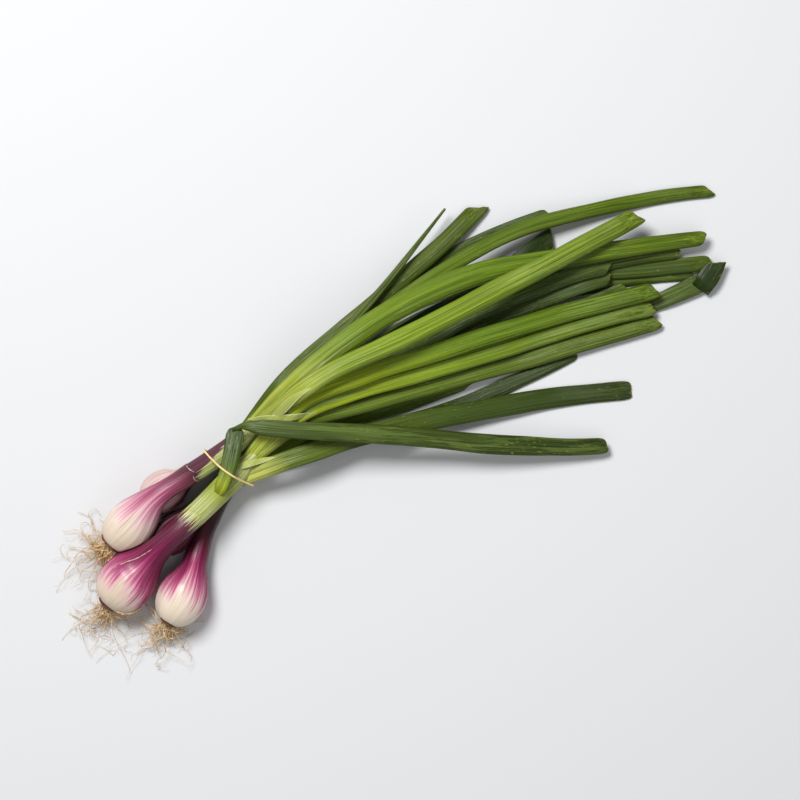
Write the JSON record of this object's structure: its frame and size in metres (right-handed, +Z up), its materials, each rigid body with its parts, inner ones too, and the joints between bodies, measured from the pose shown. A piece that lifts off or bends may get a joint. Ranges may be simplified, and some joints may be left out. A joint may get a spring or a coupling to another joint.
{
  "type": "spring onion bunch",
  "caption": "Bunch of red spring onions lying flat: magenta and cream bulbs with fine roots, purple necks held by a rubber band, and long green leaves in a loose fan",
  "frame": {"origin": "centre of the footprint, on the surface that the bunch lies on", "axes": "+X from the bulbs to the leaf tips, +Z up off the surface, +Y across the bunch"},
  "size_m": [0.469, 0.1748, 0.0484],
  "materials": {
    "bulb_skin": "smooth satin bulb skin, cream at the root end and magenta to purple up the neck",
    "green_leaf": "waxy green leaf with fine lengthwise ribs and a grey bloom in places",
    "dry_root": "thin dry tan roots",
    "rubber_band": "thin tan rubber, smooth"
  },
  "bodies": {
    "root": {"onion_a_bulb": "bulb_skin", "onion_b_bulb": "bulb_skin", "onion_c_bulb": "bulb_skin", "onion_d_bulb": "bulb_skin", "onion_e_bulb": "bulb_skin", "onion_a_leaves": "green_leaf", "onion_b_leaves": "green_leaf", "onion_c_leaves": "green_leaf", "onion_d_leaves": "green_leaf", "onion_e_leaves": "green_leaf", "onion_a_roots": "dry_root", "onion_b_roots": "dry_root", "onion_c_roots": "dry_root", "onion_d_roots": "dry_root", "onion_e_roots": "dry_root", "rubber_band": "rubber_band"}
  },
  "joints": []
}
